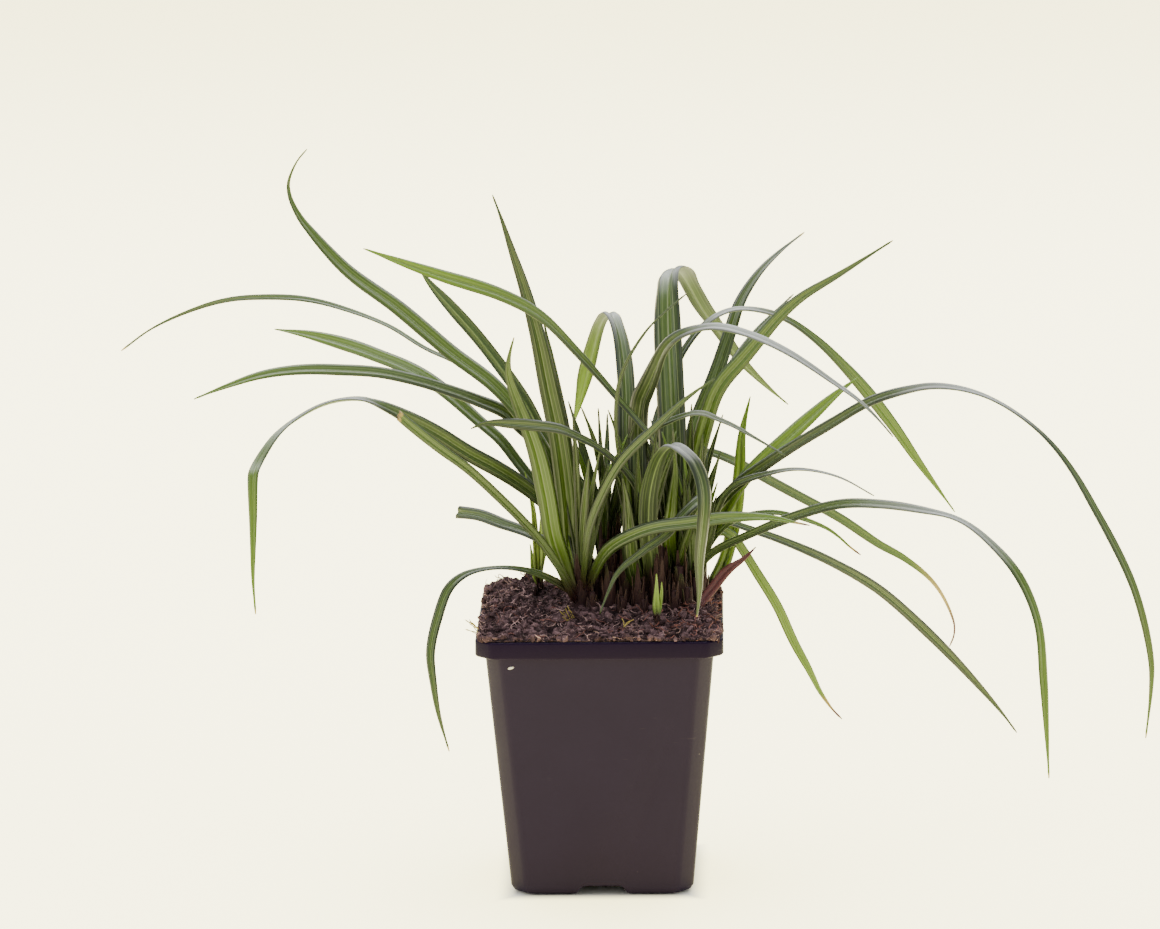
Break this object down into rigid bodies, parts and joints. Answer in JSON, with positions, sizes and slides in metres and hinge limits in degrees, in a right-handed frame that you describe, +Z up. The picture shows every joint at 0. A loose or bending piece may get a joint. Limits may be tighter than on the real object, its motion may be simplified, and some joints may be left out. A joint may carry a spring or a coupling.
{
  "type": "potted sedge plant",
  "caption": "Arching, folded strap-leaved sedge growing in peat in a square tapered nursery pot with a stepped rim and channelled base.",
  "frame": {"origin": "centre of the underside of the pot's base, on the surface that it stands on", "axes": "+Z up, +X to the right and +Y away from the viewer as the picture shows the plant, along the pot's sides"},
  "size_m": [0.3844, 0.2394, 0.2655],
  "materials": {
    "pot": "satin moulded plastic with light scuffs",
    "soil": "matte crumbly peat with fibres",
    "leaf": "smooth leaf with lengthwise veins and a soft gloss",
    "fresh_leaf": "young yellow-green leaf",
    "dry_sheath": "dry papery sheath"
  },
  "bodies": {
    "root": {"pot": "pot", "soil": "soil", "shoot_left": "leaf", "shoot_left_back": "leaf", "shoot_middle": "leaf", "shoot_centre_right": "leaf", "shoot_right_back": "leaf", "shoot_right": "leaf", "small_shoot": "leaf", "spear_shoot": "fresh_leaf", "young_sprout": "fresh_leaf", "dry_sheath": "dry_sheath"}
  },
  "joints": []
}
